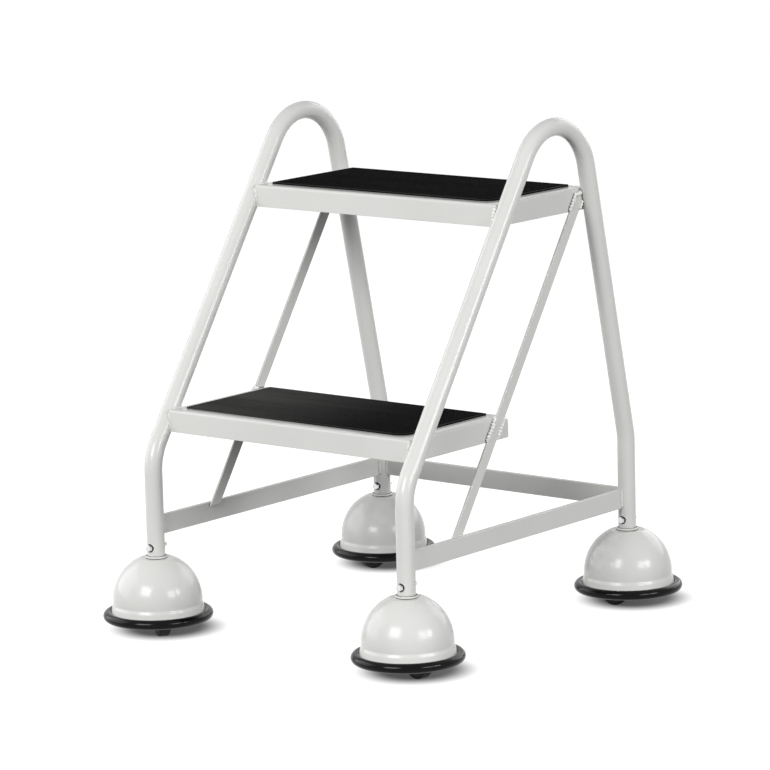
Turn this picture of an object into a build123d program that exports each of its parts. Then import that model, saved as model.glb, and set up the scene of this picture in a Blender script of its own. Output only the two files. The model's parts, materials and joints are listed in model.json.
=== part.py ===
from build123d import *
from math import asin, cos, degrees, pi, radians, sin, sqrt, tan
import os

# Mobile steps: two matted treads welded into a bent-tube frame that stands on four domed feet,
# each with a spring-loaded swivel castor inside and a rubber grip ring round its rim.
# Millimetres, +Z up, +X to the right and -Y towards the user, with the origin on the floor
# midway between the four feet.

# Side frames
tube_diameter = 22.0
tube_wall = 1.5
frame_spacing = 393.0  # between the axes of the two side tubes
wheelbase = 440.0  # between the front and the rear feet
front_knee_height = 222.0  # where the lines of leg and stringer cross
rear_knee_height = 214.0
front_lean = 34.1  # stringer from vertical, in degrees
rear_lean = 12.0
bend_radius = 67.0  # centre line of every bend
weld_gap = 0.2  # left for the weld where a tube passes a neighbour

# Treads, each a tray of folded sheet
tread_bite = 3.0  # each end past the inner side of its tube
tread_depth = 192.0
tread_flange = 27.0
tread_sheet = 1.8
tread_fold = 3.0  # outside radius of the folds at the front and the ends
tread_rear_fold = 10.0
tread_lead = 6.0  # front face ahead of the stringer's axis at the flange's mid-height
lower_tread_top = 276.0
top_tread_top = 532.0

# Rubber mats
mat_thickness = 3.0
mat_corner = 2.5
mat_side_inset = 18.0
mat_end_inset = 17.0
mat_shift = -3.0  # sideways from the tread's middle

# Flat-bar braces beside the treads
brace_width = 15.0
brace_thickness = 3.0
brace_head_lead = 10.9  # its axis ahead of the rear leg's where its head ends
brace_drop = 6.0  # its head below the top tread's upper face
brace_lap = 4.5  # on the inner face of the rail

# Flat-bar rails between the legs
rail_height = 24.0
rail_thickness = 6.0
rail_rise = 25.2  # above the lower end of the legs
bar_edge = 0.8  # rounding of the long edges of all flat bars

# Grip rings and the room under them
ring_clearance = 18.0  # from the floor to the unloaded ring
ring_section = 11.8
ring_radius = 61.7  # to the middle of the section
ring_fit = 0.1

# Pressed domes
dome_radius = 54.8
dome_rise = 57.0  # the upright half axis of its outline
dome_lift = 18.1  # the dome's centre above the ring's
dome_sheet = 1.5
crease_drop = 3.3  # below the dome's centre
crease_step = 1.5
crease_fall = 3.8
crease_bend = 4.0
flat_bend = 6.0  # where the flat top turns down
lip_width = 3.7  # turned out from the skirt into the ring

# Castors
castor_travel = 20.0
wheel_diameter = 34.0
wheel_width = 15.0
wheel_round = 3.0
core_diameter = 22.0
core_proud = 0.3  # the core's boss beyond each side of the tyre
core_fit = 0.04
trail = 18.0  # from the swivel axis to the axle
axle_diameter = 6.0
axle_head_diameter = 9.6
axle_head_height = 2.0
fork_sheet = 2.0
fork_side_clearance = 0.4
fork_eye_diameter = 12.0
crown_thickness = 2.5
crown_wheel_gap = 3.5
crown_diameter = 26.0
crown_front = 7.0  # the crown past the axle
cheek_back = 7.0  # the cheek's top behind the swivel axis
kingpin_diameter = 6.0
kingpin_head_diameter = 11.0
kingpin_head_height = 2.3
swivel_gap = 0.3
running_fit = 0.05  # radial, between sliding or turning pieces
face_gap = 0.1  # between flat faces of pieces that are fixed together
race_diameter = 25.0
race_thickness = 3.2
race_groove = 1.2
plunger_flange_thickness = 2.4

# Stems and the clips that hold them in their guides
stem_diameter = 12.0
stem_tip = 1.5  # past the clip
clip_thickness = 1.6
clip_diameter = 14.8
clip_groove_depth = 0.8
clip_slack = 0.05
clip_rest_gap = 0.3
clip_mouth = 5.0

# Spigots that carry the domes and guide the stems
collar_diameter = 27.0
collar_height = 3.1
collar_round = 1.0
collar_seat_margin = 7.4  # of the dome's flat top round the collar
spigot_length = 25.0  # inside the leg
spigot_fit = 0.08
guide_wall = 1.55  # round the chamber that the clip runs in
guide_neck = 9.0  # the narrow length that the stem slides in
guide_end_gap = 0.6
seat_thickness = 2.4

# Cross bolts through legs and spigots
bolt_rise = 10.2  # above the lower end of the leg
bolt_diameter = 5.0
bolt_clearance = 0.1
bolt_thread_fit = 0.02  # in the spigot, which is tapped
bolt_across_flats = 8.0
bolt_sides = 6
bolt_head_height = 3.5
bolt_head_chamfer = 0.6
bolt_tail = 7.5  # past the back of the leg
bolt_tip_chamfer = 0.7

# Coil springs round the guides
spring_wire = 2.3
spring_clearance = 1.45  # round the guide
spring_seat_margin = 0.25  # of the seats round the spring
spring_end_pitch = 2.9
spring_end_turns = 1
spring_active_turns = 4
spring_seat_gap = 0.15
quarters = 4  # of a turn
gap_samples = 1200

# Feet: name, side, end, and the castor's heading at rest in degrees from +X
feet = [
    ("front_left", -1, -1, -34.0),
    ("front_right", 1, -1, -8.0),
    ("rear_left", -1, 1, -108.0),
    ("rear_right", 1, 1, -126.0),
]

# Castor heights, from the floor up
wheel_radius = wheel_diameter / 2
axle_height = wheel_radius
crown_bottom = wheel_diameter + crown_wheel_gap
crown_top = crown_bottom + crown_thickness
race_bottom = crown_top + swivel_gap
race_top = race_bottom + race_thickness
flange_bottom = race_top + face_gap
flange_top = flange_bottom + plunger_flange_thickness
guide_bottom = flange_top + castor_travel + guide_end_gap
guide_shoulder = guide_bottom + guide_neck
clip_bottom = guide_shoulder + clip_rest_gap
clip_top = clip_bottom + clip_thickness
stem_top = clip_top + stem_tip
guide_bore_top = stem_top + castor_travel + guide_end_gap

# Castor, guide and spring widths
cheek_inner = wheel_width / 2 + core_proud + fork_side_clearance
cheek_outer = cheek_inner + fork_sheet
stem_radius = stem_diameter / 2
clip_radius = clip_diameter / 2
guide_radius = clip_radius + running_fit + guide_wall
spring_radius = guide_radius + spring_clearance + spring_wire / 2
seat_radius = spring_radius + spring_wire / 2 + spring_seat_margin

# Ring, dome and collar
ring_height = ring_clearance + ring_section / 2
lip_bottom = ring_height - dome_sheet / 2
lip_top = lip_bottom + dome_sheet
skirt_radius = ring_radius - lip_width
dome_centre_height = ring_height + dome_lift
crease_height = dome_centre_height - crease_drop
collar_radius = collar_diameter / 2
dome_flat_radius = max(collar_radius, seat_radius) + collar_seat_margin
dome_flat_height = dome_centre_height + dome_rise * sqrt(1 - (dome_flat_radius / dome_radius) ** 2)
seat_top = dome_flat_height - dome_sheet - face_gap
seat_bottom = seat_top - seat_thickness

# Frame
tube_radius = tube_diameter / 2
tube_bore = tube_radius - tube_wall
tube_bottom = dome_flat_height + collar_height
bolt_height = tube_bottom + bolt_rise
frame_x = frame_spacing / 2
leg_y = wheelbase / 2
front_slope = tan(radians(front_lean))
rear_slope = tan(radians(rear_lean))
knee_rise = front_slope * front_knee_height + rear_slope * rear_knee_height
apex_z = (wheelbase + knee_rise) / (front_slope + rear_slope)
apex_y = -leg_y + front_slope * (apex_z - front_knee_height)
tread_width = frame_spacing - tube_diameter + 2 * tread_bite
brace_inner_x = tread_width / 2
brace_outer_x = brace_inner_x + brace_thickness
rail_bottom = tube_bottom + rail_rise
rail_top = rail_bottom + rail_height


def keep(piece, name):
    piece.label = name
    export_step(piece, f"parts/{name}.step")


# The bent tube of one side, solid when it has no bore
def bent_tube(x, outer_radius, bore_radius=0.0):
    with BuildPart() as tube:
        with BuildLine() as path:
            FilletPolyline(
                (x, -leg_y, tube_bottom),
                (x, -leg_y, front_knee_height),
                (x, apex_y, apex_z),
                (x, leg_y, rear_knee_height),
                (x, leg_y, tube_bottom),
                radius=bend_radius,
            )
        with BuildSketch(Plane((x, -leg_y, tube_bottom))):
            Circle(outer_radius)
            if bore_radius:
                Circle(bore_radius, mode=Mode.SUBTRACT)
        sweep(path=path.line)
    return tube.part


def side_tube(x):
    with BuildPart() as side:
        add(bent_tube(x, tube_radius, tube_bore))
        with BuildSketch(Plane.XZ):
            with Locations((x, bolt_height)):
                Circle(bolt_diameter / 2 + bolt_clearance)
        extrude(amount=wheelbase, both=True, mode=Mode.SUBTRACT)
    return side.part


# Where the axes of the stringer and of the rear leg stand at a height
def stringer_y(z):
    return -leg_y + front_slope * (z - front_knee_height)


def rear_leg_y(z):
    return leg_y - rear_slope * (z - rear_knee_height)


def tread_front(top):
    return stringer_y(top - tread_flange / 2) - tread_lead


# A tray with its corners coped round the side tubes
def tread(top, tubes):
    front = tread_front(top)
    rear = front + tread_depth
    low = top - tread_flange
    with BuildPart() as tray:
        with BuildSketch(Plane.YZ.offset(-tread_width / 2)) as profile:
            with BuildLine():
                Polyline((front, low), (rear, low), (rear, top), (front, top), close=True)
            make_face()
            for corner, fold in (((front, top), tread_fold), ((rear, top), tread_rear_fold)):
                fillet(profile.vertices().sort_by_distance(corner)[0], radius=fold)
        extrude(amount=tread_width)
        rims = tray.faces().filter_by(Axis.X).edges().filter_by(lambda rim: rim.center().Z > low + tread_sheet)
        fillet(rims, radius=tread_fold)
        offset(amount=-tread_sheet, openings=tray.faces().sort_by(Axis.Z)[0])
        for tube in tubes:
            add(tube, mode=Mode.SUBTRACT)
    return tray.part


def mat(top):
    middle = tread_front(top) + tread_depth / 2
    with BuildPart() as sheet:
        with BuildSketch(Plane((mat_shift, middle, top))):
            RectangleRounded(tread_width - 2 * mat_side_inset, tread_depth - 2 * mat_end_inset, mat_corner)
        extrude(amount=mat_thickness)
    return sheet.part


# A brace runs beside the treads from the rail up to the rear leg, which cuts its upper corner
def brace(side, tube):
    half_level_width = brace_width / 2 / cos(radians(front_lean))
    foot = rail_top - brace_lap
    head = top_tread_top - brace_drop
    head_y = rear_leg_y(head) - brace_head_lead
    foot_y = head_y - front_slope * (head - foot)
    inner = brace_inner_x if side > 0 else -brace_outer_x
    with BuildPart() as bar:
        with BuildSketch(Plane.YZ.offset(inner)):
            Polygon(
                (foot_y - half_level_width, foot),
                (foot_y + half_level_width, foot),
                (head_y + half_level_width, head),
                (head_y - half_level_width, head),
                align=None,
            )
        extrude(amount=brace_thickness)
        fillet(bar.edges().sort_by(SortBy.LENGTH)[-4:], radius=bar_edge)
        add(tube, mode=Mode.SUBTRACT)
    return bar.part


def side_rail(side, tube):
    middle = side * (brace_outer_x + rail_thickness / 2)
    with BuildPart() as bar:
        with BuildSketch(Plane((middle, 0, rail_bottom))):
            Rectangle(rail_thickness, wheelbase)
        extrude(amount=rail_height)
        fillet(bar.edges().filter_by(Axis.Y), radius=bar_edge)
        add(tube, mode=Mode.SUBTRACT)
    return bar.part


def rear_rail(tubes):
    with BuildPart() as bar:
        with BuildSketch(Plane((0, leg_y, rail_bottom))):
            Rectangle(frame_spacing, rail_thickness)
        extrude(amount=rail_height)
        fillet(bar.edges().filter_by(Axis.X), radius=bar_edge)
        for tube in tubes:
            add(tube, mode=Mode.SUBTRACT)
    return bar.part


# Cross bolts lie along Y with their six-sided heads to the front and their tips past the leg
def leg_bolts():
    seat = tube_radius + face_gap
    with BuildPart() as bolts:
        for name, side, end, heading in feet:
            head_plane = Plane((side * frame_x, end * leg_y - seat, bolt_height), z_dir=(0, -1, 0))
            with BuildSketch(head_plane):
                RegularPolygon(bolt_across_flats / 2, bolt_sides, major_radius=False)
            extrude(amount=bolt_head_height)
            with BuildSketch(head_plane):
                Circle(bolt_diameter / 2)
            extrude(amount=-(seat + tube_radius + bolt_tail))
        by_area = bolts.faces().filter_by(Axis.Y).group_by(SortBy.AREA)
        tips = by_area[0].edges()
        fronts = by_area[-1].edges()
        chamfer(tips, length=bolt_tip_chamfer)
        chamfer(fronts, length=bolt_head_chamfer)
    return bolts.part


# Frames of reference of a foot: its upright section plane and its castor's planes
def section_plane(x, y):
    return Plane((x, y, 0), x_dir=(1, 0, 0), z_dir=(0, -1, 0))


def upright(x, y):
    return Axis((x, y, 0), (0, 0, 1))


def castor_plane(x, y, heading):
    return Plane((x, y, 0), x_dir=(cos(radians(heading)), sin(radians(heading)), 0), z_dir=(0, 0, 1))


def cheek_plane(x, y, heading, across):
    ground = castor_plane(x, y, heading)
    return Plane(ground.from_local_coords((0, across, 0)), x_dir=ground.x_dir, z_dir=-ground.y_dir)


# Through the axle, with the first axis along it and the second up
def axle_plane(x, y, heading):
    ground = castor_plane(x, y, heading)
    middle = ground.from_local_coords((trail, 0, axle_height))
    return Plane(middle, x_dir=ground.y_dir, z_dir=ground.x_dir)


# Radius of the dome's outer or inner skin at a height
def dome_skin(height, inset=0.0):
    share = (height - dome_centre_height) / (dome_rise - inset)
    return (dome_radius - inset) * sqrt(1 - share**2)


# Arc of that skin between two heights
def dome_arc(low, high, inset=0.0):
    rise = dome_rise - inset
    start = degrees(asin((low - dome_centre_height) / rise))
    end = degrees(asin((high - dome_centre_height) / rise))
    EllipticalCenterArc(
        (0, dome_centre_height),
        dome_radius - inset,
        rise,
        start_angle=start,
        arc_size=end - start,
    )


def dome(x, y):
    hole = guide_radius + ring_fit
    flat_under = dome_flat_height - dome_sheet
    crease = (dome_skin(crease_height), crease_height)
    crease_inner = (dome_skin(crease_height, dome_sheet), crease_height)
    bead = (crease[0] + crease_step, crease_height - crease_fall)
    flat_rim = (dome_flat_radius, dome_flat_height)
    with BuildPart() as shell:
        with BuildSketch(section_plane(x, y)) as profile:
            with BuildLine():
                Polyline(
                    crease,
                    bead,
                    (skirt_radius, lip_top),
                    (ring_radius, lip_top),
                    (ring_radius, lip_bottom),
                    (skirt_radius - dome_sheet, lip_bottom),
                    (bead[0] - dome_sheet, bead[1]),
                    crease_inner,
                )
                dome_arc(crease_height, flat_under, dome_sheet)
                Polyline(
                    (dome_skin(flat_under, dome_sheet), flat_under),
                    (hole, flat_under),
                    (hole, dome_flat_height),
                    flat_rim,
                )
                dome_arc(crease_height, dome_flat_height)
            make_face()
            for corner, bend in ((crease, crease_bend), (bead, crease_bend), (flat_rim, flat_bend)):
                fillet(profile.vertices().sort_by_distance(corner)[0], radius=bend)
        revolve(axis=upright(x, y))
    return shell.part


# A round rubber section, grooved for the dome's lip and cut back where the skirt passes
def grip_ring(x, y):
    inside = ring_radius - ring_section
    with BuildPart() as ring:
        with BuildSketch(section_plane(x, y)):
            with Locations((ring_radius, ring_height)):
                Circle(ring_section / 2)
            with Locations((inside, lip_bottom - ring_fit)):
                Rectangle(
                    ring_section + ring_fit,
                    dome_sheet + 2 * ring_fit,
                    align=Align.MIN,
                    mode=Mode.SUBTRACT,
                )
                Rectangle(
                    skirt_radius + ring_fit - inside,
                    ring_section,
                    align=Align.MIN,
                    mode=Mode.SUBTRACT,
                )
        revolve(axis=upright(x, y))
    return ring.part


# Plug in the leg, collar on the dome, spring seat under it and the stem's guide, in one piece
def spigot(x, y):
    neck = stem_radius + running_fit
    chamber = clip_radius + running_fit
    plug = tube_bore - spigot_fit
    with BuildPart() as post:
        with BuildSketch(section_plane(x, y)) as profile:
            with BuildLine():
                Polyline(
                    (neck, guide_bottom),
                    (guide_radius, guide_bottom),
                    (guide_radius, seat_bottom),
                    (seat_radius, seat_bottom),
                    (seat_radius, seat_top),
                    (guide_radius, seat_top),
                    (guide_radius, dome_flat_height),
                    (collar_radius, dome_flat_height),
                    (collar_radius, tube_bottom),
                    (plug, tube_bottom),
                    (plug, tube_bottom + spigot_length),
                    (0, tube_bottom + spigot_length),
                    (0, guide_bore_top),
                    (chamber, guide_bore_top),
                    (chamber, guide_shoulder),
                    (neck, guide_shoulder),
                    close=True,
                )
            make_face()
            fillet(profile.vertices().sort_by_distance((collar_radius, tube_bottom))[0], radius=collar_round)
        revolve(axis=upright(x, y))
        with BuildSketch(section_plane(x, y)):
            with Locations((0, bolt_height)):
                Circle(bolt_diameter / 2 + bolt_thread_fit)
        extrude(amount=tube_diameter, both=True, mode=Mode.SUBTRACT)
    return post.part


# Kingpin, spring flange and stem of one castor, which rise and fall together
def plunger(x, y):
    groove = stem_radius - clip_groove_depth
    head_top = crown_bottom - swivel_gap
    with BuildPart() as stem:
        with BuildSketch(section_plane(x, y)):
            with BuildLine():
                Polyline(
                    (0, head_top - kingpin_head_height),
                    (kingpin_head_diameter / 2, head_top - kingpin_head_height),
                    (kingpin_head_diameter / 2, head_top),
                    (kingpin_diameter / 2, head_top),
                    (kingpin_diameter / 2, flange_bottom),
                    (seat_radius, flange_bottom),
                    (seat_radius, flange_top),
                    (stem_radius, flange_top),
                    (stem_radius, clip_bottom - clip_slack),
                    (groove, clip_bottom - clip_slack),
                    (groove, clip_top + clip_slack),
                    (stem_radius, clip_top + clip_slack),
                    (stem_radius, stem_top),
                    (0, stem_top),
                    close=True,
                )
            make_face()
        revolve(axis=upright(x, y))
    return stem.part


# Spring clip in the stem's groove, open at one side
def retaining_clip(x, y):
    inner = stem_radius - clip_groove_depth + clip_slack
    with BuildPart() as clip:
        with BuildSketch(Plane((x, y, clip_bottom))):
            Circle(clip_radius)
            Circle(inner, mode=Mode.SUBTRACT)
            Rectangle(clip_diameter, clip_mouth, align=(Align.MIN, Align.CENTER), mode=Mode.SUBTRACT)
        extrude(amount=clip_thickness)
    return clip.part


# Ball race under the flange, with the groove between its two cups
def swivel_race(x, y):
    bore = kingpin_diameter / 2 + running_fit
    rim = race_diameter / 2
    middle = (race_bottom + race_top) / 2
    with BuildPart() as race:
        with BuildSketch(section_plane(x, y)):
            with BuildLine():
                Polyline(
                    (bore, race_bottom),
                    (rim, race_bottom),
                    (rim, middle - race_groove / 2),
                    (rim - race_groove, middle),
                    (rim, middle + race_groove / 2),
                    (rim, race_top),
                    (bore, race_top),
                    close=True,
                )
            make_face()
        revolve(axis=upright(x, y))
    return race.part


# Crown plate and two cheeks that taper to the axle's eyes
def fork(x, y, heading):
    ground = castor_plane(x, y, heading)
    crown_end = trail + crown_front
    with BuildPart() as yoke:
        with BuildSketch(ground.offset(crown_bottom)):
            Circle(crown_diameter / 2)
            Rectangle(crown_end, 2 * cheek_outer, align=(Align.MIN, Align.CENTER))
            Circle(kingpin_diameter / 2 + running_fit, mode=Mode.SUBTRACT)
        extrude(amount=crown_thickness)
        for across in (cheek_outer, -cheek_inner):
            with BuildSketch(cheek_plane(x, y, heading, across)):
                with Locations((trail, axle_height)):
                    Circle(fork_eye_diameter / 2)
                with Locations((-cheek_back, crown_bottom)):
                    Rectangle(crown_end + cheek_back, crown_thickness, align=Align.MIN)
                make_hull()
                with Locations((trail, axle_height)):
                    Circle(axle_diameter / 2 + running_fit, mode=Mode.SUBTRACT)
            extrude(amount=fork_sheet)
    return yoke.part


def axle(x, y, heading):
    middle = axle_plane(x, y, heading)
    with BuildPart() as pin:
        with BuildSketch(middle):
            with BuildLine():
                Polyline(
                    (-cheek_outer - axle_head_height, 0),
                    (-cheek_outer - axle_head_height, axle_head_diameter / 2),
                    (-cheek_outer, axle_head_diameter / 2),
                    (-cheek_outer, axle_diameter / 2),
                    (cheek_outer, axle_diameter / 2),
                    (cheek_outer, axle_head_diameter / 2),
                    (cheek_outer + axle_head_height, axle_head_diameter / 2),
                    (cheek_outer + axle_head_height, 0),
                    close=True,
                )
            make_face()
        revolve(axis=Axis(middle.origin, middle.x_dir))
    return pin.part


def wheel_core(x, y, heading):
    middle = axle_plane(x, y, heading)
    bore = axle_diameter / 2 + running_fit
    width = wheel_width + 2 * core_proud
    with BuildPart() as core:
        with BuildSketch(middle):
            with Locations((0, bore)):
                Rectangle(width, core_diameter / 2 - bore, align=(Align.CENTER, Align.MIN))
        revolve(axis=Axis(middle.origin, middle.x_dir))
    return core.part


def wheel_tyre(x, y, heading):
    middle = axle_plane(x, y, heading)
    bore = core_diameter / 2 + core_fit
    with BuildPart() as tyre:
        with BuildSketch(middle) as section:
            with Locations((0, bore)):
                Rectangle(wheel_width, wheel_radius - bore, align=(Align.CENTER, Align.MIN))
            fillet(section.vertices().group_by(Axis.Y)[-1], radius=wheel_round)
        revolve(axis=Axis(middle.origin, middle.x_dir))
    return tyre.part


# Heights of the wire's middle at each quarter turn, closer at both ends
def coil_heights():
    low = flange_top + spring_seat_gap + spring_wire / 2
    high = seat_bottom - spring_seat_gap - spring_wire / 2
    end_rise = spring_end_pitch * spring_end_turns
    active_pitch = (high - low - 2 * end_rise) / spring_active_turns
    end_steps = [spring_end_pitch / quarters] * (spring_end_turns * quarters)
    active_steps = [active_pitch / quarters] * (spring_active_turns * quarters)
    heights = [low]
    for step in end_steps + active_steps + end_steps:
        heights.append(heights[-1] + step)
    return heights


# Points on the wire's middle line with their directions, one for each quarter turn
def coil_stations(x, y):
    heights = coil_heights()
    radius = spring_radius
    last = len(heights) - 1
    stations = []
    for i, height in enumerate(heights):
        angle = 2 * pi * i / quarters
        below = heights[max(i - 1, 0)]
        above = heights[min(i + 1, last)]
        climb = (above - below) / (min(i + 1, last) - max(i - 1, 0))
        arc = 2 * pi * radius / quarters
        point = Vector(x + radius * cos(angle), y + radius * sin(angle), height)
        direction = Vector(-arc * sin(angle), arc * cos(angle), climb).normalized()
        stations.append((point, direction))
    return stations


# Where the two arcs of a biarc meet, and which way they run there
def biarc_joint(start, start_way, end, end_way):
    chord = end - start
    along = chord.dot(start_way + end_way)
    spread = 2 * (1 - start_way.dot(end_way))
    reach = (sqrt(along**2 + spread * chord.dot(chord)) - along) / spread
    first_corner = start + start_way * reach
    second_corner = end - end_way * reach
    return (first_corner + second_corner) / 2, (second_corner - first_corner).normalized()


def coil_spring(x, y):
    stations = coil_stations(x, y)
    with BuildPart() as coil:
        with BuildLine() as wire:
            for (start, start_way), (end, end_way) in zip(stations, stations[1:]):
                joint, joint_way = biarc_joint(start, start_way, end, end_way)
                TangentArc(start, joint, tangent=start_way)
                TangentArc(joint, end, tangent=joint_way)
        first_point, first_way = stations[0]
        with BuildSketch(Plane(first_point, z_dir=first_way)):
            Circle(spring_wire / 2)
        sweep(path=wire.line)
    return coil.part, wire.line


# Least clear gap between neighbouring turns, from points along the wire's middle line
def least_gap(line):
    turns = 2 * spring_end_turns + spring_active_turns
    points = [line @ (i / gap_samples) for i in range(gap_samples + 1)]
    half_turn = gap_samples // (2 * turns)
    nearest = min(
        (points[i] - points[j]).length
        for i in range(len(points))
        for j in range(i + half_turn, min(i + 3 * half_turn, len(points)))
    )
    return nearest - spring_wire


os.makedirs("parts", exist_ok=True)

# Welded frame, treads and mats
left_cut = bent_tube(-frame_x, tube_radius + weld_gap)
right_cut = bent_tube(frame_x, tube_radius + weld_gap)
cuts = [left_cut, right_cut]
keep(side_tube(-frame_x), "left_side_tube")
keep(side_tube(frame_x), "right_side_tube")
keep(tread(lower_tread_top, cuts), "lower_tread")
keep(tread(top_tread_top, cuts), "top_tread")
keep(mat(lower_tread_top), "lower_mat")
keep(mat(top_tread_top), "top_mat")
keep(brace(-1, left_cut), "left_brace")
keep(brace(1, right_cut), "right_brace")
keep(side_rail(-1, left_cut), "left_rail")
keep(side_rail(1, right_cut), "right_rail")
keep(rear_rail(cuts), "rear_rail")
keep(leg_bolts(), "leg_bolts")

# Feet with their castors
for name, side, end, heading in feet:
    x = side * frame_x
    y = end * leg_y
    keep(dome(x, y), f"{name}_dome")
    keep(grip_ring(x, y), f"{name}_grip_ring")
    keep(spigot(x, y), f"{name}_spigot")
    keep(plunger(x, y), f"{name}_plunger")
    keep(retaining_clip(x, y), f"{name}_retaining_clip")
    keep(swivel_race(x, y), f"{name}_swivel_race")
    keep(fork(x, y, heading), f"{name}_fork")
    keep(axle(x, y, heading), f"{name}_axle")
    keep(wheel_core(x, y, heading), f"{name}_wheel_core")
    keep(wheel_tyre(x, y, heading), f"{name}_wheel_tyre")
    spring, wire_line = coil_spring(x, y)
    keep(spring, f"{name}_spring")
    print(f"{name} spring: least gap between turns {least_gap(wire_line):.2f} mm")
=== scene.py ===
import json
import math
import random

import bmesh
import bpy
from mathutils import Matrix, Vector


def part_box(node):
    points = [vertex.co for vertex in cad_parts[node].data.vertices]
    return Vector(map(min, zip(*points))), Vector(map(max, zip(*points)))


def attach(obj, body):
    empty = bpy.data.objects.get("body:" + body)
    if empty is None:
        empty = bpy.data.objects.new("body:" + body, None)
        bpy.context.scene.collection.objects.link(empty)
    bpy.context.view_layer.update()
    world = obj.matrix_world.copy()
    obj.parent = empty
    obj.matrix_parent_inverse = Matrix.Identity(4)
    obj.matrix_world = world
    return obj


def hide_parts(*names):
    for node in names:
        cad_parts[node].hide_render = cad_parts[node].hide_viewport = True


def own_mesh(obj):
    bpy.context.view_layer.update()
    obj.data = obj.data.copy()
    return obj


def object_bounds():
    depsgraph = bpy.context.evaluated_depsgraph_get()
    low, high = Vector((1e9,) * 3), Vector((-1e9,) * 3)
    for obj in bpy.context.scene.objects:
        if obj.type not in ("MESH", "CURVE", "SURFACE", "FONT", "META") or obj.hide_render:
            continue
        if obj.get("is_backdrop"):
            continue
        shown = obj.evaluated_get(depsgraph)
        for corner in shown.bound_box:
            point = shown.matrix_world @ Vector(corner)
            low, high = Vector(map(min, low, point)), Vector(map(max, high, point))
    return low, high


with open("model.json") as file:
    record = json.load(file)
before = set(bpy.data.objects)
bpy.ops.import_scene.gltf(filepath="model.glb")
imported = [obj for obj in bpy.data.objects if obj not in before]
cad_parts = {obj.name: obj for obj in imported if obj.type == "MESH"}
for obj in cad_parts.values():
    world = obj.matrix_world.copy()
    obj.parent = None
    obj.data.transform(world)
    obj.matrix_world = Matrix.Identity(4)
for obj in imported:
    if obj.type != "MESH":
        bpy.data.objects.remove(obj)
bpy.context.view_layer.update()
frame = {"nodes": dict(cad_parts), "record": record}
nodes = frame["nodes"]

# Driving sizes of the object in millimetres, repeated from the model
MM = 0.001
TUBE_X = 196.5
TUBE_R = 11.0
LEG_Y = 220.0
FEET = {
    "front_left": (-TUBE_X, -LEG_Y),
    "front_right": (TUBE_X, -LEG_Y),
    "rear_left": (-TUBE_X, LEG_Y),
    "rear_right": (TUBE_X, LEG_Y),
}
SIDES = (("left", -1), ("right", 1))
FRONT_KNEE = 222.0
STRINGER_LEAN = math.radians(34.1)
FRONT_SLOPE = math.tan(STRINGER_LEAN)
TREAD_FLANGE = 27.0
TREAD_LEAD = 6.0
TREAD_TOPS = {"lower": 276.0, "top": 532.0}
BRACE_SETBACK = 156.96
BRACE_HALF = 7.5 / math.cos(STRINGER_LEAN)
BRACE_INNER = 188.5
BRACE_HEAD = 525.0
RAIL_INNER, RAIL_OUTER = 191.5, 197.5
RAIL_LOW, RAIL_HIGH = (corner.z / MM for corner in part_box("left_rail"))
SPRING_WIRE = 2.3
SPRING_END_PITCH = 2.9
SPRING_ACTIVE_TURNS = 4


def stringer_y(z):
    return -LEG_Y + FRONT_SLOPE * (z - FRONT_KNEE)


def tread_front(top):
    return stringer_y(top - TREAD_FLANGE / 2) - TREAD_LEAD


# Node tree helpers
MIX_COLOURS = (6, 7)
MIX_RESULT = 2


def add_node(tree, kind, inputs=None, **settings):
    node = tree.nodes.new(kind)
    for key, value in settings.items():
        setattr(node, key, value)
    for key, value in (inputs or {}).items():
        if isinstance(value, bpy.types.NodeSocket):
            tree.links.new(value, node.inputs[key])
        else:
            node.inputs[key].default_value = value
    return node


def new_material(name, **constants):
    material = bpy.data.materials.new(name)
    material.use_nodes = True
    tree = material.node_tree
    shader = tree.nodes["Principled BSDF"]
    for key, value in constants.items():
        shader.inputs[key.replace("_", " ")].default_value = value
    coords = add_node(tree, "ShaderNodeTexCoord").outputs["Object"]
    return material, tree, shader, coords


def maths(tree, operation, first, second):
    made = add_node(tree, "ShaderNodeMath", {0: first, 1: second}, operation=operation)
    return made.outputs[0]


def vector_maths(tree, operation, first, second):
    made = add_node(tree, "ShaderNodeVectorMath", {0: first, 1: second}, operation=operation)
    return made.outputs["Value"]


def axis_of(tree, coords, axis):
    return add_node(tree, "ShaderNodeSeparateXYZ", {0: coords}).outputs[axis]


def noise(tree, coords, scale, detail=2.0, roughness=0.5, stretch=None):
    vector = coords
    if stretch:
        mapping = add_node(tree, "ShaderNodeMapping", {"Vector": coords, "Scale": stretch})
        vector = mapping.outputs["Vector"]
    made = add_node(
        tree,
        "ShaderNodeTexNoise",
        {"Vector": vector, "Scale": scale, "Detail": detail, "Roughness": roughness},
    )
    return made.outputs["Fac"]


def ramp(tree, fac, low, high, start=0.3, end=0.7):
    made = add_node(
        tree,
        "ShaderNodeMapRange",
        {"Value": fac, "From Min": start, "From Max": end, "To Min": low, "To Max": high},
        interpolation_type="SMOOTHSTEP",
    )
    return made.outputs["Result"]


def blend_colours(tree, fac, first, second):
    made = add_node(tree, "ShaderNodeMix", {"Factor": fac}, data_type="RGBA")
    for index, value in zip(MIX_COLOURS, (first, second)):
        if isinstance(value, bpy.types.NodeSocket):
            tree.links.new(value, made.inputs[index])
        else:
            made.inputs[index].default_value = (*value, 1.0)
    return made.outputs[MIX_RESULT]


def bump(tree, height, strength, distance, normal=None):
    inputs = {"Height": height, "Strength": strength, "Distance": distance}
    if normal is not None:
        inputs["Normal"] = normal
    return add_node(tree, "ShaderNodeBump", inputs).outputs["Normal"]


def bevel(tree, radius, samples):
    made = add_node(tree, "ShaderNodeBevel", {"Radius": radius}, samples=samples)
    return made.outputs["Normal"]


def openness(tree, reach):
    made = add_node(tree, "ShaderNodeAmbientOcclusion", {"Distance": reach}, samples=8)
    return made.outputs["AO"]


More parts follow.
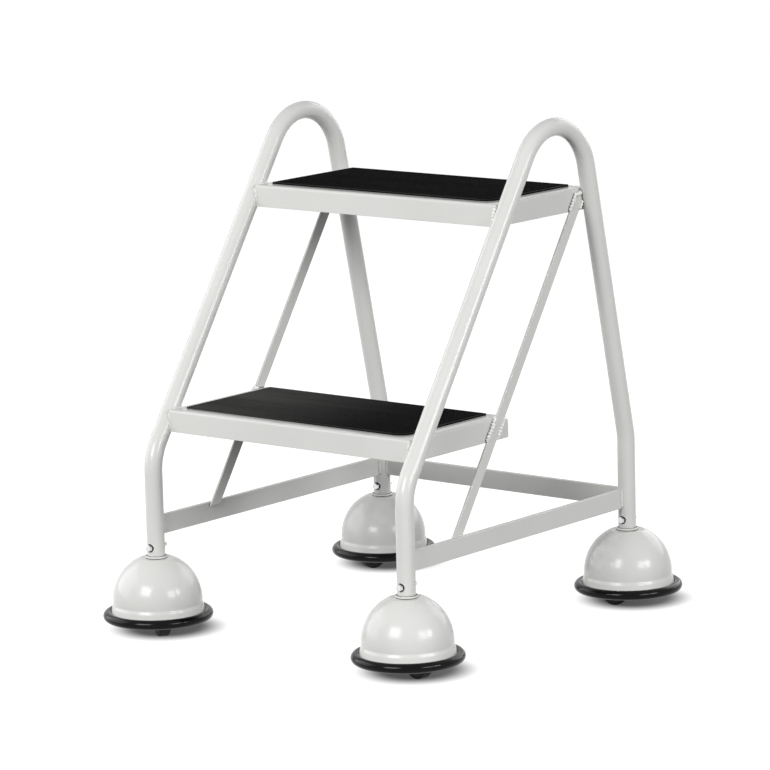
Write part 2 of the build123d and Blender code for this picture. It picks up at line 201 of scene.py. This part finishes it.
def scaled(tone, factor):
    return tuple(c * factor for c in tone)


# Stoved enamel: slight tone drift, fine specks, faint orange peel, softened edges, and where
# asked painted shadow lines and painted shade in creases
DRIFT_SCALE = 9.0
DRIFT_DEEP, DRIFT_PALE = 0.975, 1.02
DRIFT_ROUGH = 0.02
SPECK_SCALE = 420.0
SPECK_SHARE = 0.3
SPECK_BAND = (0.6, 0.78)
SPECK_SHADE = 0.95
PEEL_SCALE = 240.0
PEEL_STRENGTH = 0.01
PEEL_DEPTH = 0.0003
SHADOW_LINE_TONE = (0.035, 0.035, 0.034)
CREASE_SHADE_TONE = (0.10, 0.10, 0.098)


def enamel_material(
    name, tone, specular, rough, shadow_lines=(), crease=None, shade=(0.25, 0.6), edge=0.0008
):
    material, tree, shader, coords = new_material(name, IOR=1.5, Specular_IOR_Level=specular)
    broad = noise(tree, coords, DRIFT_SCALE)
    fine = noise(tree, coords, SPECK_SCALE, roughness=0.6)
    deep, pale = scaled(tone, DRIFT_DEEP), scaled(tone, DRIFT_PALE)
    colour = blend_colours(tree, ramp(tree, broad, 0.0, 1.0), deep, pale)
    speck = ramp(tree, fine, 0.0, SPECK_SHARE, *SPECK_BAND)
    colour = blend_colours(tree, speck, colour, scaled(tone, SPECK_SHADE))
    # Painted shadow lines: darker bands beyond the given heights
    for start, end in shadow_lines:
        shadow_line = ramp(tree, axis_of(tree, coords, "Z"), 0.0, 1.0, start, end)
        colour = blend_colours(tree, shadow_line, colour, SHADOW_LINE_TONE)
    # Painted shade: darker where the surroundings close in, in creases and where parts meet
    if crease:
        lit = ramp(tree, openness(tree, crease), 0.0, 1.0, *shade)
        colour = blend_colours(tree, lit, CREASE_SHADE_TONE, colour)
    tree.links.new(colour, shader.inputs["Base Color"])
    sheen = ramp(tree, broad, rough - DRIFT_ROUGH, rough + DRIFT_ROUGH)
    tree.links.new(sheen, shader.inputs["Roughness"])
    soft = bevel(tree, edge, samples=4) if edge else None
    peel = noise(tree, coords, PEEL_SCALE, detail=0.0)
    peel = bump(tree, peel, PEEL_STRENGTH, PEEL_DEPTH, soft)
    tree.links.new(peel, shader.inputs["Normal"])
    return material


# Rubber with a fine grain and light scuffs, and where asked grit, and towards one end a dusty
# layer with a painted sheen
SCUFF_SCALE = 22.0
SCUFF_BAND = (0.35, 0.75)
GRIT_SCALE = 330.0
GRIT_BAND = (0.42, 0.72)
GRIT_TONE = (0.0105, 0.0105, 0.0104)
DUST_AND_SHEEN_SPAN = (-0.19, 0.12)
DUST_AND_SHEEN_PATCHES = (0.7, 1.3)
DUST_AND_SHEEN_TONE = (0.16, 0.165, 0.155)
GRAIN_DEPTH = 0.0003
GRAIN_SMOOTHER, GRAIN_ROUGHER = 0.06, 0.08


def rubber_material(
    name, tone, pale, rough, grain, specular, stretch=None, dust_and_sheen=None, relief=0.25, grit=False
):
    material, tree, shader, coords = new_material(name, Specular_IOR_Level=specular)
    scuff = noise(tree, coords, SCUFF_SCALE, detail=5.0, roughness=0.62, stretch=stretch)
    pebble = noise(tree, coords, grain, detail=3.0, roughness=0.6)
    colour = blend_colours(tree, ramp(tree, scuff, 0.0, 1.0, *SCUFF_BAND), tone, pale)
    if grit:
        mottle = noise(tree, coords, GRIT_SCALE, detail=3.0, roughness=0.7)
        colour = blend_colours(tree, ramp(tree, mottle, 0.0, 1.0, *GRIT_BAND), colour, GRIT_TONE)
    # Lighter towards one end along X: partly a dusty layer, partly a painted sheen
    if dust_and_sheen:
        film_and_sheen = ramp(tree, axis_of(tree, coords, "X"), *dust_and_sheen, *DUST_AND_SHEEN_SPAN)
        film_and_sheen = maths(tree, "MULTIPLY", film_and_sheen, ramp(tree, scuff, *DUST_AND_SHEEN_PATCHES))
        colour = blend_colours(tree, film_and_sheen, colour, DUST_AND_SHEEN_TONE)
    tree.links.new(colour, shader.inputs["Base Color"])
    sheen = ramp(tree, pebble, rough - GRAIN_SMOOTHER, rough + GRAIN_ROUGHER)
    tree.links.new(sheen, shader.inputs["Roughness"])
    tree.links.new(bump(tree, pebble, relief, GRAIN_DEPTH), shader.inputs["Normal"])
    return material


# Plated or bare metal with drawing marks and painted shade in its creases, and where asked
# painted shade along its edges
CLOUD_SCALE = 90.0
CLOUD_SHADE = 0.86
CLOUD_SMOOTHER, CLOUD_ROUGHER = 0.05, 0.1
DRAWN_SCALE = 700.0
DRAWN_STRETCH = (1.0, 1.0, 0.15)
DRAWN_STRENGTH = 0.12
DRAWN_DEPTH = 0.0002
EDGE_BAND = (0.86, 0.99)
EDGE_SHADE_TONE = (0.03, 0.03, 0.03)


def metal_material(name, tone, rough, reach=0.003, shade=(0.35, 0.8), dark=0.03, edge=None):
    material, tree, shader, coords = new_material(name, Metallic=1.0)
    cloud = noise(tree, coords, CLOUD_SCALE, detail=3.0, roughness=0.6)
    drawn = noise(tree, coords, DRAWN_SCALE, stretch=DRAWN_STRETCH)
    colour = blend_colours(tree, ramp(tree, cloud, 0.0, 1.0), scaled(tone, CLOUD_SHADE), tone)
    # Painted shade: darker where the surroundings close in, as in creases
    lit = ramp(tree, openness(tree, reach), 0.0, 1.0, *shade)
    colour = blend_colours(tree, lit, (dark,) * 3, colour)
    # Painted shade along the edges
    if edge:
        facing = add_node(tree, "ShaderNodeNewGeometry").outputs["Normal"]
        flat = vector_maths(tree, "DOT_PRODUCT", bevel(tree, edge, samples=8), facing)
        colour = blend_colours(tree, ramp(tree, flat, 0.0, 1.0, *EDGE_BAND), EDGE_SHADE_TONE, colour)
    tree.links.new(colour, shader.inputs["Base Color"])
    sheen = ramp(tree, cloud, rough - CLOUD_SMOOTHER, rough + CLOUD_ROUGHER)
    tree.links.new(sheen, shader.inputs["Roughness"])
    tree.links.new(bump(tree, drawn, DRAWN_STRENGTH, DRAWN_DEPTH), shader.inputs["Normal"])
    return material


# Enamels: the collars show theirs between two heights in metres, with painted shadow lines
# beyond
ENAMEL_TONE = (0.640, 0.645, 0.625)
COLLAR_SHADOW_LINES = ((0.09750, 0.09770), (0.09560, 0.09530))
PLAIN = {"tone": ENAMEL_TONE, "specular": 0.23, "rough": 0.13}
enamel = enamel_material("light_grey_enamel", **PLAIN)
collar_enamel = enamel_material("collar_enamel", **PLAIN, shadow_lines=COLLAR_SHADOW_LINES)
# The bars get painted shade in their creases
bar_enamel = enamel_material("bar_enamel", **PLAIN, crease=0.0035, shade=(0.42, 0.82))
round_enamel = enamel_material(
    "round_enamel", ENAMEL_TONE, specular=0.27, rough=0.205, edge=None
)
# Bumpy weld beads: lighter than the frame's enamel as a painted highlight for their glints, with
# painted shade in their creases
weld_enamel = enamel_material(
    "weld_enamel",
    (0.82, 0.82, 0.80),
    specular=0.50,
    rough=0.12,
    crease=0.003,
    shade=(0.30, 0.75),
)

# Rubbers and plastic, with the tones of new and worn places
MAT_LOOK = {
    "tone": (0.0028, 0.0028, 0.0031),
    "pale": (0.0055, 0.0055, 0.0058),
    "rough": 0.82,
    "grain": 900.0,
    "stretch": (0.12, 1.0, 1.0),
    "grit": True,
}
mat_rubber = rubber_material("mat_rubber", **MAT_LOOK, specular=0.010)
# The lower mat turns lighter towards its left end: partly dusty, partly a painted sheen
dusty_sheen_rubber = rubber_material("dusty_sheen_mat_rubber", **MAT_LOOK, specular=0.015, dust_and_sheen=(0.25, 0.0))
# Mat edges: lighter, both as wear and as a painted highlight on the rounded top edge
worn_highlit_rubber = rubber_material(
    "worn_highlit_mat_edge",
    (0.016, 0.016, 0.0165),
    (0.030, 0.030, 0.029),
    rough=0.7,
    grain=900.0,
    specular=0.06,
)
ring_rubber = rubber_material(
    "ring_rubber",
    (0.0012, 0.0012, 0.0013),
    (0.0030, 0.0030, 0.0032),
    rough=0.15,
    grain=700.0,
    specular=0.13,
    relief=0.08,
)
tyre_rubber = rubber_material(
    "tyre_rubber",
    (0.030, 0.030, 0.030),
    (0.060, 0.060, 0.057),
    rough=0.50,
    grain=600.0,
    specular=0.25,
)
core_plastic = rubber_material(
    "core_plastic",
    (0.040, 0.040, 0.042),
    (0.06, 0.06, 0.062),
    rough=0.45,
    grain=500.0,
    specular=0.4,
)

# Metals
zinc = metal_material("bright_zinc", (0.70, 0.71, 0.72), rough=0.22)
# Bolt heads: painted shade reaching further round them, and painted shade along their edges
bolt_zinc = metal_material(
    "bolt_zinc",
    (0.74, 0.75, 0.76),
    rough=0.16,
    reach=0.007,
    shade=(0.55, 0.95),
    dark=0.004,
    edge=0.0011,
)
spring_steel = metal_material("spring_steel", (0.42, 0.42, 0.43), rough=0.32)

# Materials of the CAD nodes, by slot, and by name for those with a look of their own
BY_SLOT = {
    "enamel": enamel,
    "mat": mat_rubber,
    "grip_rubber": ring_rubber,
    "zinc": zinc,
    "spring_steel": spring_steel,
    "core": core_plastic,
    "wheel_rubber": tyre_rubber,
}
BY_NODE = {"leg_bolts": bolt_zinc}
for side, _ in SIDES:
    BY_NODE[f"{side}_brace"] = BY_NODE[f"{side}_rail"] = bar_enamel
    BY_NODE[f"{side}_side_tube"] = round_enamel
for foot in FEET:
    BY_NODE[f"{foot}_spigot"] = collar_enamel
    BY_NODE[f"{foot}_dome"] = round_enamel
for subpart in frame["record"]["subparts"]:
    name = subpart["node"]
    mesh = nodes[name].data
    mesh.materials.clear()
    mesh.materials.append(BY_NODE.get(name, BY_SLOT[subpart["material_slot"]]))


# Mesh piece helpers
def new_piece(name, mesh, material):
    piece = bpy.data.objects.new(name, mesh)
    bpy.context.scene.collection.objects.link(piece)
    mesh.materials.append(material)
    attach(piece, "frame")
    return piece


def mesh_from(name, verts, faces, smooth=True):
    mesh = bpy.data.meshes.new(name)
    mesh.from_pydata([tuple(c * MM for c in v) for v in verts], [], faces)
    mesh.validate()
    for polygon in mesh.polygons:
        polygon.use_smooth = smooth
    work = bmesh.new()
    work.from_mesh(mesh)
    bmesh.ops.recalc_face_normals(work, faces=work.faces)
    work.to_mesh(mesh)
    work.free()
    return mesh


# Rings of a swept round section joined into a closed skin with domed ends
END_BULGE = 0.5


def swept_mesh(name, centres, radii, sides):
    verts, faces = [], []
    count = len(centres)
    side_axis = None
    for i, centre in enumerate(centres):
        ahead = centres[min(i + 1, count - 1)] - centres[max(i - 1, 0)]
        way = ahead.normalized()
        if side_axis is None:
            side_axis = way.orthogonal().normalized()
        side_axis = (side_axis - way * side_axis.dot(way)).normalized()
        other = way.cross(side_axis)
        for k in range(sides):
            turn = 2 * math.pi * k / sides
            spoke = math.cos(turn) * side_axis + math.sin(turn) * other
            verts.append(centre + radii[i] * spoke)
    for i in range(count - 1):
        for k in range(sides):
            a, b = i * sides + k, i * sides + (k + 1) % sides
            faces.append((a, b, b + sides, a + sides))
    for end, inward in ((0, 1), (count - 1, -1)):
        hub = len(verts)
        back = (centres[end + inward] - centres[end]).normalized()
        verts.append(centres[end] - back * radii[end] * END_BULGE)
        for k in range(sides):
            faces.append((end * sides + k, end * sides + (k + 1) % sides, hub))
    return mesh_from(name, verts, faces)


# Coil springs, closed at both ends
SPRING_STEPS = 40
SPRING_SIDES = 14
for foot, (x, y) in FEET.items():
    corner_low, corner_high = (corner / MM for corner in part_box(f"{foot}_spring"))
    low, high = corner_low.z + SPRING_WIRE / 2, corner_high.z - SPRING_WIRE / 2
    coil_radius = (corner_high.x - corner_low.x - SPRING_WIRE) / 2
    turns = SPRING_ACTIVE_TURNS + 2
    active_pitch = (high - low - 2 * SPRING_END_PITCH) / SPRING_ACTIVE_TURNS
    centres = []
    for i in range(turns * SPRING_STEPS + 1):
        t = i / SPRING_STEPS
        rise = min(t, 1.0) * SPRING_END_PITCH
        rise += min(max(t - 1.0, 0.0), SPRING_ACTIVE_TURNS) * active_pitch
        rise += max(t - 1.0 - SPRING_ACTIVE_TURNS, 0.0) * SPRING_END_PITCH
        turn = 2 * math.pi * t
        aside, along = coil_radius * math.cos(turn), coil_radius * math.sin(turn)
        centres.append(Vector((x + aside, y + along, low + rise)))
    wire = [SPRING_WIRE / 2] * len(centres)
    mesh = swept_mesh(f"{foot}_coil", centres, wire, SPRING_SIDES)
    coil = new_piece(f"{foot}_coil", mesh, spring_steel)
    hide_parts(f"{foot}_spring")
    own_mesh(coil)


# Thin black saddle rings under the heads of the cross bolts, drawing a dark outline round each
# head
BOLT_RING_INNER = 2.7
BOLT_RING_OUTER = 5.1
BOLT_RING_THICK = 0.6
BOLT_RING_CHAMFER = 0.2
BOLT_RING_STEPS = 36
bolts_low, bolts_high = (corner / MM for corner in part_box("leg_bolts"))
bolt_height = (bolts_low.z + bolts_high.z) / 2


def bolt_ring_mesh(name, x, y):
    rims = (
        (BOLT_RING_INNER, TUBE_R),
        (BOLT_RING_OUTER, TUBE_R),
        (BOLT_RING_OUTER - BOLT_RING_CHAMFER, TUBE_R + BOLT_RING_THICK),
        (BOLT_RING_INNER, TUBE_R + BOLT_RING_THICK),
    )
    count = len(rims)
    verts, faces = [], []
    for step in range(BOLT_RING_STEPS):
        turn = 2 * math.pi * step / BOLT_RING_STEPS
        for reach, radius in rims:
            aside = reach * math.cos(turn)
            depth = math.sqrt(radius ** 2 - aside ** 2)
            verts.append((x + aside, y - depth, bolt_height + reach * math.sin(turn)))
        here, ahead = count * step, count * ((step + 1) % BOLT_RING_STEPS)
        for k in range(count):
            after = (k + 1) % count
            faces.append((here + k, here + after, ahead + after, ahead + k))
    return mesh_from(name, verts, faces, False)


for foot, (x, y) in FEET.items():
    name = f"{foot}_bolt_dark_ring"
    new_piece(name, bolt_ring_mesh(name, x, y), ring_rubber)

# Ribbed rubber mats, with a fuller curve at the corner beside the right stringer
MAT_CORNER = 1.0
MAT_WIDE_CORNER = 17.0
MAT_LEAST_CORNER = 0.2
MAT_FOOT_CHAMFER = 0.3
MAT_EDGE = ((0.8, 0.0), (0.3, 0.25), (0.0, 0.9))
MAT_WORN_HIGHLIT_ROWS = (2, 4)
CORNER_STEPS = 6
RIB_PITCH = 4.0
RIB_RISE = 0.6
RIB_FOOT = 2.4
RIB_CREST = 1.5
RIB_BORDER = 3.5
RIB_TAPER = 0.9
RIB_END_RISE = 0.05
RIB_END_SHARE = 0.5
RIB_SUNK = 0.2


def mat_outline(low, high, inset):
    corners = (
        (low.x, low.y, MAT_CORNER, 180.0),
        (high.x, low.y, MAT_WIDE_CORNER, 270.0),
        (high.x, high.y, MAT_CORNER, 0.0),
        (low.x, high.y, MAT_CORNER, 90.0),
    )
    middle_x, middle_y = (low.x + high.x) / 2, (low.y + high.y) / 2
    points = []
    for x, y, radius, start in corners:
        centre_x = x + radius * (1 if x < middle_x else -1)
        centre_y = y + radius * (1 if y < middle_y else -1)
        reach = max(radius - inset, MAT_LEAST_CORNER)
        for step in range(CORNER_STEPS + 1):
            turn = math.radians(start + 90.0 * step / CORNER_STEPS)
            points.append((centre_x + reach * math.cos(turn), centre_y + reach * math.sin(turn)))
    return points


def ribbed_mat(name, node, material):
    low, high = (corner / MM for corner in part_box(node))
    base_top = high.z - RIB_RISE
    layers = [(low.z, MAT_FOOT_CHAMFER), (low.z + MAT_FOOT_CHAMFER, 0.0)]
    layers += [(base_top - drop, inset) for drop, inset in MAT_EDGE]
    verts, faces = [], []
    for z, inset in layers:
        verts += [(x, y, z) for x, y in mat_outline(low, high, inset)]
    count = 4 * (CORNER_STEPS + 1)
    for layer in range(len(layers) - 1):
        for k in range(count):
            a, b = layer * count + k, layer * count + (k + 1) % count
            faces.append((a, b, b + count, a + count))
    faces.append(tuple(range(count - 1, -1, -1)))
    faces.append(tuple(range((len(layers) - 1) * count, len(layers) * count)))
    span = high.y - low.y - 2 * RIB_BORDER
    ribs = int(span / RIB_PITCH)
    pitch = span / ribs
    for rib in range(ribs):
        y = low.y + RIB_BORDER + (rib + 0.5) * pitch
        lead = max(low.y + MAT_WIDE_CORNER - y, 0.0)
        curve = MAT_WIDE_CORNER - math.sqrt(max(MAT_WIDE_CORNER ** 2 - lead ** 2, 0.0))
        first, last = low.x + RIB_BORDER, high.x - RIB_BORDER - curve
        stations = (
            (first, RIB_END_RISE, RIB_END_SHARE),
            (first + RIB_TAPER, RIB_RISE, 1.0),
            (last - RIB_TAPER, RIB_RISE, 1.0),
            (last, RIB_END_RISE, RIB_END_SHARE),
        )
        start = len(verts)
        for x, rise, share in stations:
            foot, crest = share * RIB_FOOT / 2, share * RIB_CREST / 2
            verts += [
                (x, y - foot, base_top - RIB_SUNK),
                (x, y - crest, base_top + rise),
                (x, y + crest, base_top + rise),
                (x, y + foot, base_top - RIB_SUNK),
            ]
        final = start + 4 * (len(stations) - 1)
        for ring in range(start, final, 4):
            for k in range(4):
                a, b = ring + k, ring + (k + 1) % 4
                faces.append((a, b, b + 4, a + 4))
        faces.append(tuple(start + k for k in range(4)))
        faces.append(tuple(final + k for k in range(3, -1, -1)))
    piece = new_piece(name, mesh_from(name, verts, faces, False), material)
    # The rounded top edge rows take the lighter edge rubber: wear and a painted highlight
    piece.data.materials.append(worn_highlit_rubber)
    first_row, end_row = MAT_WORN_HIGHLIT_ROWS
    for polygon in piece.data.polygons[first_row * count:end_row * count]:
        polygon.material_index = 1
    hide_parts(node)


ribbed_mat("lower_ribbed_mat", "lower_mat", dusty_sheen_rubber)
ribbed_mat("top_ribbed_mat", "top_mat", mat_rubber)

# Weld beads along the joints: a form is a bead's least radius and its scallops, as shares
SMOOTH = (0.90, 0.10)
BUMPY = (0.50, 0.62)
WELD_STEP = 0.45
WELD_PITCH = 4.2
WELD_SIDES = 12
WELD_SWELL = (0.82, 1.12)
WELD_END_SHARE = 0.45
WELD_DRIFT_KEPT = 0.9
WELD_DRIFT_PUSH = 0.03
weld_chance = random.Random(7)


def weld_path(corners):
    points = []
    for first, last in zip(corners, corners[1:]):
        first, last = Vector(first), Vector(last)
        steps = max(2, int((last - first).length / WELD_STEP))
        points += [first.lerp(last, i / steps) for i in range(steps)]
    points.append(Vector(corners[-1]))
    return points


def weld_bead(name, corners, radius, form):
    points = weld_path(corners)
    length = sum((b - a).length for a, b in zip(points, points[1:]))
    swell = [weld_chance.uniform(*WELD_SWELL) for _ in range(int(length / WELD_PITCH) + 2)]
    least, scallop = form
    walked, radii, centres = 0.0, [], []
    drift = Vector((0.0, 0.0, 0.0))
    for i, point in enumerate(points):
        if i:
            walked += (point - points[i - 1]).length
        beat = abs(math.sin(math.pi * walked / WELD_PITCH))
        end = min(1.0, WELD_END_SHARE + min(walked, length - walked) / (2 * radius))
        push = Vector([weld_chance.uniform(-1, 1) for _ in range(3)]) * radius
        drift = drift * WELD_DRIFT_KEPT + push * WELD_DRIFT_PUSH
        radii.append(radius * end * (least + scallop * beat * swell[int(walked / WELD_PITCH)]))
        centres.append(point + drift)
    # Bumpy beads take the weld enamel, with its painted highlight and painted crease shade
    material = weld_enamel if form is BUMPY else round_enamel
    new_piece(name, swept_mesh(name, centres, radii, WELD_SIDES), material)


# Radii of the beads
FRONT_WELD = {"lower": 2.6, "top": 3.0}
TOP_WELD = 1.5
BRACE_WELD = 2.7
BRACE_FOOT_WELD = 1.2
RAIL_WELD = 2.4
REAR_RAIL_WELD = 1.8

# Front welds up a tread's corner: off the middle, behind the front, below the top
FRONT_PATH = ((185.0, 1.2, 25.0), (185.8, 1.0, 13.0), (187.0, 1.2, 8.0), (187.8, 3.6, 3.0))

# Top welds round the part of a stringer that stands over its tread
ARC_HALF = 58.0
ARC_STEPS = 8
ARC_DEPTH = 13.3
ARC_RISE = 0.1

# Brace welds along a tread's end, turned in over the brace's head or the tread's top
BRACE_WELD_X = BRACE_INNER + 2.2
BRACE_WELD_SHIFT = {"front": -BRACE_HALF - 0.8, "rear": BRACE_HALF + 0.4}
BRACE_WELD_LIFT = 1.5
BRACE_WELD_DROP = 0.5
HEAD_RUN, HEAD_RISE = 12.0, 1.6
TURN_IN = ((BRACE_INNER - 0.8, 1.2), (BRACE_INNER - 1.0, 7.0))
TURN_RISE = 0.5

# Welds of the brace's foot and the rails, held back from the ends of their joints
BRACE_FOOT_HALF = 8.5
BRACE_FOOT_PROUD, BRACE_FOOT_RISE = 0.2, 0.1
RAIL_WELD_PROUD = 1.0
RAIL_WELD_ENDS = (RAIL_LOW + 1.0, RAIL_HIGH - 1.0)
REAR_RAIL_PROUD = 0.3
REAR_RAIL_HALF = 3.0


def front_path(sign, top):
    front = tread_front(top)
    return [(sign * off, front + back, top - below) for off, back, below in FRONT_PATH]


def top_path(sign, top):
    arc = []
    for step in range(ARC_STEPS + 1):
        turn = math.radians(-ARC_HALF + 2 * ARC_HALF * step / ARC_STEPS)
        x = TUBE_X - TUBE_R * math.cos(turn)
        arc.append((sign * x, stringer_y(top) + ARC_DEPTH * math.sin(turn), top + ARC_RISE))
    return arc


def brace_path(sign, tread, top, edge):
    ends = (top - TREAD_FLANGE + BRACE_WELD_LIFT, min(top - BRACE_WELD_DROP, BRACE_HEAD))
    shift = BRACE_WELD_SHIFT[edge]
    line = [(sign * BRACE_WELD_X, stringer_y(z) + BRACE_SETBACK + shift, z) for z in ends]
    x, y, _ = line[-1]
    if edge == "front" and tread == "top":
        line.append((x, y + HEAD_RUN, BRACE_HEAD + HEAD_RISE))
    elif edge == "front":
        line += [(sign * inner, y + run, top + TURN_RISE) for inner, run in TURN_IN]
    return line


def upright_path(x, y):
    return [(x, y, z) for z in RAIL_WELD_ENDS]


for side, sign in SIDES:
    for tread, top in TREAD_TOPS.items():
        form = BUMPY if (side, tread) == ("right", "top") else SMOOTH
        weld_bead(f"{side}_{tread}_front_weld", front_path(sign, top), FRONT_WELD[tread], form)
        weld_bead(f"{side}_{tread}_top_weld", top_path(sign, top), TOP_WELD, SMOOTH)
        for edge in BRACE_WELD_SHIFT:
            line = brace_path(sign, tread, top, edge)
            weld_bead(f"{side}_{tread}_brace_{edge}_weld", line, BRACE_WELD, BUMPY)
    x, foot_y = sign * (RAIL_INNER - BRACE_FOOT_PROUD), stringer_y(RAIL_HIGH) + BRACE_SETBACK
    line = [(x, foot_y + k * BRACE_FOOT_HALF, RAIL_HIGH + BRACE_FOOT_RISE) for k in (-1, 1)]
    weld_bead(f"{side}_brace_foot_weld", line, BRACE_FOOT_WELD, SMOOTH)
    for end, reach in (("front", -1), ("rear", 1)):
        for face, x in (("inner", RAIL_INNER), ("outer", RAIL_OUTER)):
            y = reach * (LEG_Y - math.sqrt(TUBE_R ** 2 - (x - TUBE_X) ** 2) - RAIL_WELD_PROUD)
            line = upright_path(sign * x, y)
            weld_bead(f"{side}_rail_{end}_{face}_weld", line, RAIL_WELD, SMOOTH)
    for face, shift in (("inner", -REAR_RAIL_HALF), ("outer", REAR_RAIL_HALF)):
        x = TUBE_X - math.sqrt(TUBE_R ** 2 - shift ** 2) - REAR_RAIL_PROUD
        line = upright_path(sign * x, LEG_Y + shift)
        weld_bead(f"{side}_rear_rail_{face}_weld", line, REAR_RAIL_WELD, SMOOTH)


# Camera at the photograph's angle
CAMERA_SENSOR = 36.0
CAMERA_LENS = 198.14
CAMERA_CLIP = (0.1, 60.0)
CAMERA_PLACE = (3.2335, -3.9677, 1.2226)
CAMERA_TURNS = (39.245, 10.29, -1.486)


def photo_camera():
    data = bpy.data.cameras.new("photo_camera")
    data.sensor_width = CAMERA_SENSOR
    data.lens = CAMERA_LENS
    data.clip_start, data.clip_end = CAMERA_CLIP
    azimuth, elevation, roll = (math.radians(turn) for turn in CAMERA_TURNS)
    back = Vector((
        math.sin(azimuth) * math.cos(elevation),
        -math.cos(azimuth) * math.cos(elevation),
        math.sin(elevation),
    ))
    level = Vector((math.cos(azimuth), math.sin(azimuth), 0.0))
    steep = back.cross(level)
    right = math.cos(roll) * level + math.sin(roll) * steep
    up = math.cos(roll) * steep - math.sin(roll) * level
    camera = bpy.data.objects.new("photo_camera", data)
    turned = Matrix((right, up, back)).transposed().to_4x4()
    camera.matrix_world = Matrix.Translation(CAMERA_PLACE) @ turned
    bpy.context.scene.collection.objects.link(camera)
    bpy.context.scene.camera = camera


photo_camera()


# One for rays that see the surroundings straight, in gloss or through glass, else none
def seen_rays(tree):
    path = add_node(tree, "ShaderNodeLightPath").outputs
    seen = maths(tree, "MAXIMUM", path["Is Camera Ray"], path["Is Glossy Ray"])
    return maths(tree, "MAXIMUM", seen, path["Is Transmission Ray"])


# Floor that reads white away from the feet, with shadows painted round them where its glow fades
WHITE = (1.0, 1.0, 1.0, 1.0)
FLOOR_HALF = 12.0
FLOOR_TONE = (0.16, 0.16, 0.158, 1.0)
SHADOW_SHIFT = (-0.0098, 0.0262)
SHADOW_CORE = 0.038
SHADOW_RIM = 0.082
SHADOW_GLOW = 0.075


def build_floor():
    mesh = bpy.data.meshes.new("floor")
    around = ((-1, -1), (1, -1), (1, 1), (-1, 1))
    corners = [(x * FLOOR_HALF, y * FLOOR_HALF, 0) for x, y in around]
    mesh.from_pydata(corners, [], [(0, 1, 2, 3)])
    floor = bpy.data.objects.new("floor", mesh)
    bpy.context.scene.collection.objects.link(floor)
    material, tree, shader, coords = new_material(
        "pale_floor",
        Base_Color=FLOOR_TONE,
        Roughness=0.9,
        Specular_IOR_Level=0.0,
        Emission_Color=WHITE,
    )
    nearest = None
    for x, y in FEET.values():
        centre = (x * MM + SHADOW_SHIFT[0], y * MM + SHADOW_SHIFT[1], 0.0)
        span = vector_maths(tree, "DISTANCE", coords, centre)
        nearest = span if nearest is None else maths(tree, "MINIMUM", nearest, span)
    # Painted shadows: the glow fades near each foot, about a centre set off a little behind it
    glow = ramp(tree, nearest, SHADOW_GLOW, 1.0, SHADOW_CORE, SHADOW_RIM)
    strength = maths(tree, "MULTIPLY", seen_rays(tree), glow)
    tree.links.new(strength, shader.inputs["Emission Strength"])
    material.cycles.emission_sampling = "NONE"
    mesh.materials.append(material)
    floor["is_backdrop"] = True


build_floor()

# World: white where it is seen, dim where it lights
WORLD_DIM = 0.02


def build_world():
    world = bpy.data.worlds.new("studio")
    bpy.context.scene.world = world
    world.use_nodes = True
    tree = world.node_tree
    levels = {"Value": seen_rays(tree), "To Min": WORLD_DIM, "To Max": 1.0}
    strength = add_node(tree, "ShaderNodeMapRange", levels)
    background = tree.nodes["Background"]
    background.inputs["Color"].default_value = WHITE
    tree.links.new(strength.outputs["Result"], background.inputs["Strength"])


build_world()

# Soft lamps: name, place, width and height in metres, power in watts
LAMP_AIM = (0.0, 0.0, 0.2)
LAMPS = (
    ("front_box", (0.42, -4.30, 2.25), (2.20, 1.80), 174.0),
    ("right_box", (4.40, -1.05, 1.68), (1.45, 1.30), 74.0),
    ("right_far_box", (4.45, 0.45, 1.60), (1.05, 1.10), 66.0),
    ("left_panel", (-2.30, -0.95, 1.15), (2.80, 2.10), 46.0),
    ("rear_panel", (0.20, 2.60, 1.30), (2.40, 1.60), 26.0),
)


def soft_box(name, place, size, power):
    data = bpy.data.lights.new(name, "AREA")
    data.shape = "RECTANGLE"
    data.size, data.size_y = size
    data.energy = power
    lamp = bpy.data.objects.new(name, data)
    lamp.location = place
    lamp.rotation_mode = "QUATERNION"
    lamp.rotation_quaternion = (Vector(LAMP_AIM) - Vector(place)).to_track_quat("-Z", "Y")
    lamp.visible_camera = False
    bpy.context.scene.collection.objects.link(lamp)


for lamp in LAMPS:
    soft_box(*lamp)

bpy.context.scene.view_settings.view_transform = "Standard"
low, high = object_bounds()
